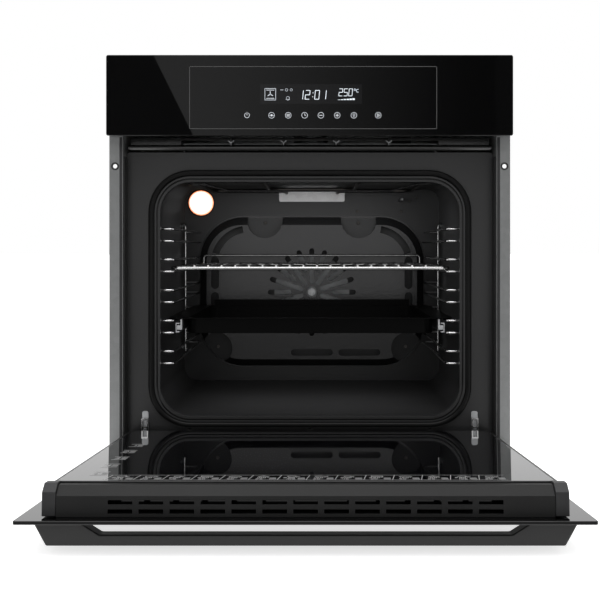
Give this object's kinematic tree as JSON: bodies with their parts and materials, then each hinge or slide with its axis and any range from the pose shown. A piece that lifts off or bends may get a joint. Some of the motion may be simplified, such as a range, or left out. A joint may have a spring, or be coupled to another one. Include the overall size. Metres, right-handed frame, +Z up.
{
  "type": "built-in wall oven",
  "caption": "Built-in electric wall oven with a black glass control panel, drop-down glass door with bar handle, enamelled cavity, fan cover, wire shelf and baking tray.",
  "frame": {"origin": "middle of the underside of the base panel", "axes": "+Z up, +Y from the door to the rear cover, +X to the right seen from the front"},
  "size_m": [0.595, 0.9945, 0.597],
  "materials": {
    "zinc": "satin zinc-coated sheet",
    "black_enamel": "gloss black enamel",
    "black_glass": "printed black glass, opaque",
    "clear_glass": "tinted low-emission glass",
    "black_metal": "satin black",
    "black_plastic": "satin",
    "rubber": "matt black",
    "chrome": "bright",
    "wool": "mineral wool with a woven skin",
    "circuit_board": "solder mask",
    "lamp_glass": "clear, warm",
    "steel": "bright steel"
  },
  "bodies": {
    "oven": {"base_panel": "zinc", "top_cover": "zinc", "rear_cover": "zinc", "terminal_block": "black_plastic", "front_frame": "black_enamel", "door_gasket": "rubber", "air_outlet_trim": "black_metal", "control_glass": "black_glass", "control_housing": "black_plastic", "display_board": "circuit_board", "cavity_liner": "black_enamel", "insulation_wrap": "wool", "grill_heater": "steel", "bottom_heater": "steel", "ring_heater": "steel", "heater_bracket": "steel", "lamp_lens": "lamp_glass", "lamp_holder": "steel", "lamp_bulb": "lamp_glass", "temperature_probe": "chrome", "fan_cover": "black_enamel", "fan_motor": "steel", "blower_housing": "zinc", "blower_motor": "steel", "side_panel_left": "zinc", "side_panel_right": "zinc", "rack_left": "chrome", "rack_right": "chrome", "runner_channel_left": "steel", "runner_channel_right": "steel", "hinge_arm_left": "steel", "hinge_arm_right": "steel", "hinge_receiver_left": "steel", "hinge_receiver_right": "steel"},
    "door": {"door_outer_glass": "black_glass", "door_inner_glass": "clear_glass", "door_middle_glass": "clear_glass", "door_bottom_rail": "black_metal", "door_top_cap": "black_metal", "door_handle": "black_metal", "door_side_rail_left": "black_metal", "door_side_rail_right": "black_metal", "door_cap_end_left": "black_plastic", "door_cap_end_right": "black_plastic", "hinge_channel_left": "steel", "hinge_channel_right": "steel", "hinge_spring_left": "steel", "hinge_spring_right": "steel"},
    "shelf": {"wire_shelf": "chrome"},
    "tray": {"baking_tray": "black_enamel"},
    "slider_left": {"runner_slider_left": "steel"},
    "slider_right": {"runner_slider_right": "steel"},
    "convection_fan": {"fan_wheel": "steel", "fan_shaft": "steel", "fan_nut": "steel"},
    "cooling_fan": {"blower_wheel": "black_plastic"},
    "catch_left": {"hinge_catch_left": "chrome"},
    "catch_right": {"hinge_catch_right": "chrome"},
    "rod_left": {"spring_rod_left": "steel"},
    "rod_right": {"spring_rod_right": "steel"}
  },
  "joints": [
    {"name": "door_hinge", "type": "hinge", "parent": "oven", "child": "door", "pos_m": [0, -0.276, 0.027], "axis": [1, 0, 0], "range_deg": [-86.5, 0]},
    {"name": "shelf_slide", "type": "slide", "parent": "oven", "child": "shelf", "axis": [0, -1, 0], "range_m": [0, 0.3]},
    {"name": "runner_left_slide", "type": "slide", "parent": "oven", "child": "slider_left", "axis": [0, -1, 0], "range_m": [0, 0.28]},
    {"name": "runner_right_slide", "type": "slide", "parent": "oven", "child": "slider_right", "axis": [0, -1, 0], "range_m": [0, 0.28]},
    {"name": "tray_lift", "type": "slide", "parent": "slider_left", "child": "tray", "axis": [0, 0, 1], "range_m": [0, 0.02]},
    {"name": "fan_spin", "type": "hinge", "parent": "oven", "child": "convection_fan", "pos_m": [0, 0.14, 0.231], "axis": [0, 1, 0], "continuous": true},
    {"name": "cooling_fan_spin", "type": "hinge", "parent": "oven", "child": "cooling_fan", "pos_m": [0, 0.034, 0.48], "axis": [0, 0, 1], "continuous": true},
    {"name": "catch_left_flip", "type": "hinge", "parent": "oven", "child": "catch_left", "pos_m": [-0.248, -0.255, 0.039], "axis": [1, 0, 0], "range_deg": [0, 90]},
    {"name": "catch_right_flip", "type": "hinge", "parent": "oven", "child": "catch_right", "pos_m": [0.248, -0.255, 0.039], "axis": [1, 0, 0], "range_deg": [0, 90]},
    {"name": "rod_left_slide", "type": "slide", "parent": "door", "child": "rod_left", "axis": [0, -0.9981, 0.061], "range_m": [0, 0.018], "deforming": ["hinge_spring_left"]},
    {"name": "rod_right_slide", "type": "slide", "parent": "door", "child": "rod_right", "axis": [0, -0.9981, 0.061], "range_m": [0, 0.018], "deforming": ["hinge_spring_right"]}
  ],
  "couplings": [
    {"joint": "runner_right_slide", "follows": "runner_left_slide", "ratio": 1},
    {"joint": "rod_left_slide", "follows": "door_hinge", "m_per_rad": -0.0119},
    {"joint": "rod_right_slide", "follows": "door_hinge", "m_per_rad": -0.0119}
  ]
}
